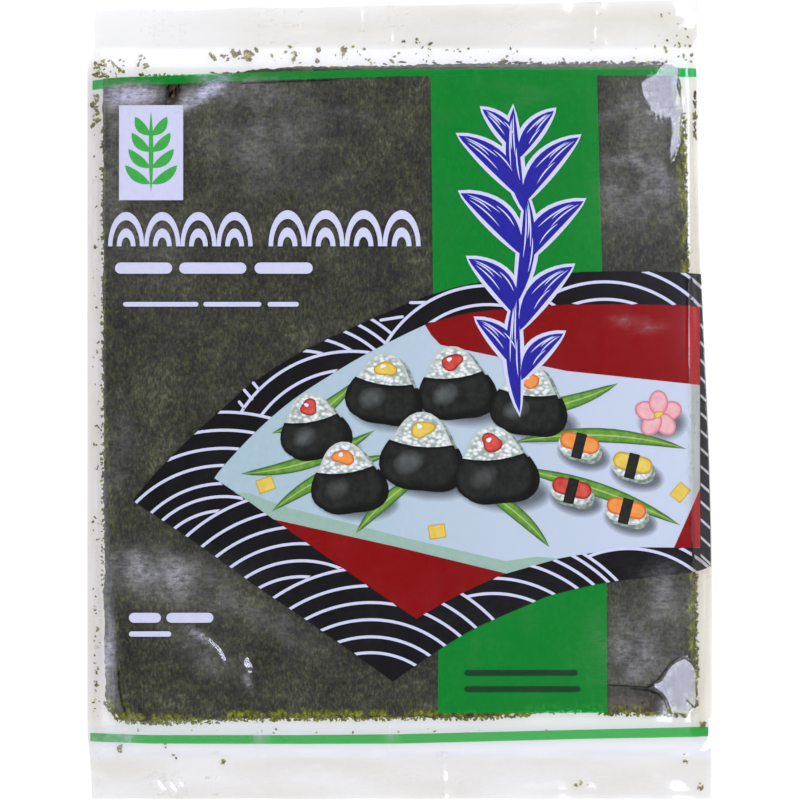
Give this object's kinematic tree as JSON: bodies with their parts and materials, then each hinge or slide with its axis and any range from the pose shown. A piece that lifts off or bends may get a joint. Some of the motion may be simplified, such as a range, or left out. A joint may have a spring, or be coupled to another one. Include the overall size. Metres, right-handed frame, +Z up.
{
  "type": "sealed film pack of nori sheets",
  "caption": "Flat sealed clear film pack with a printed front, holding a stack of square dark nori sheets, with a flat seal fin at each end.",
  "frame": {"origin": "middle of the pack's footprint, on the surface that it lies on", "axes": "+Z up through the printed front, +Y towards the top seal, +X to the right of the printed front"},
  "size_m": [0.2008, 0.257, 0.0047],
  "materials": {
    "film": "clear glossy packing film, heat sealed, slightly hazy",
    "nori": "roasted seaweed sheet, green-black, fibrous and uneven",
    "print_green": "green printing ink behind film",
    "print_black": "black printing ink behind film",
    "print_red": "red printing ink behind film",
    "print_pale": "white printing ink behind film, cooled by the dark sheets under it",
    "print_blue": "blue printing ink behind film"
  },
  "bodies": {
    "root": {"nori_pack": "film"}
  },
  "joints": []
}
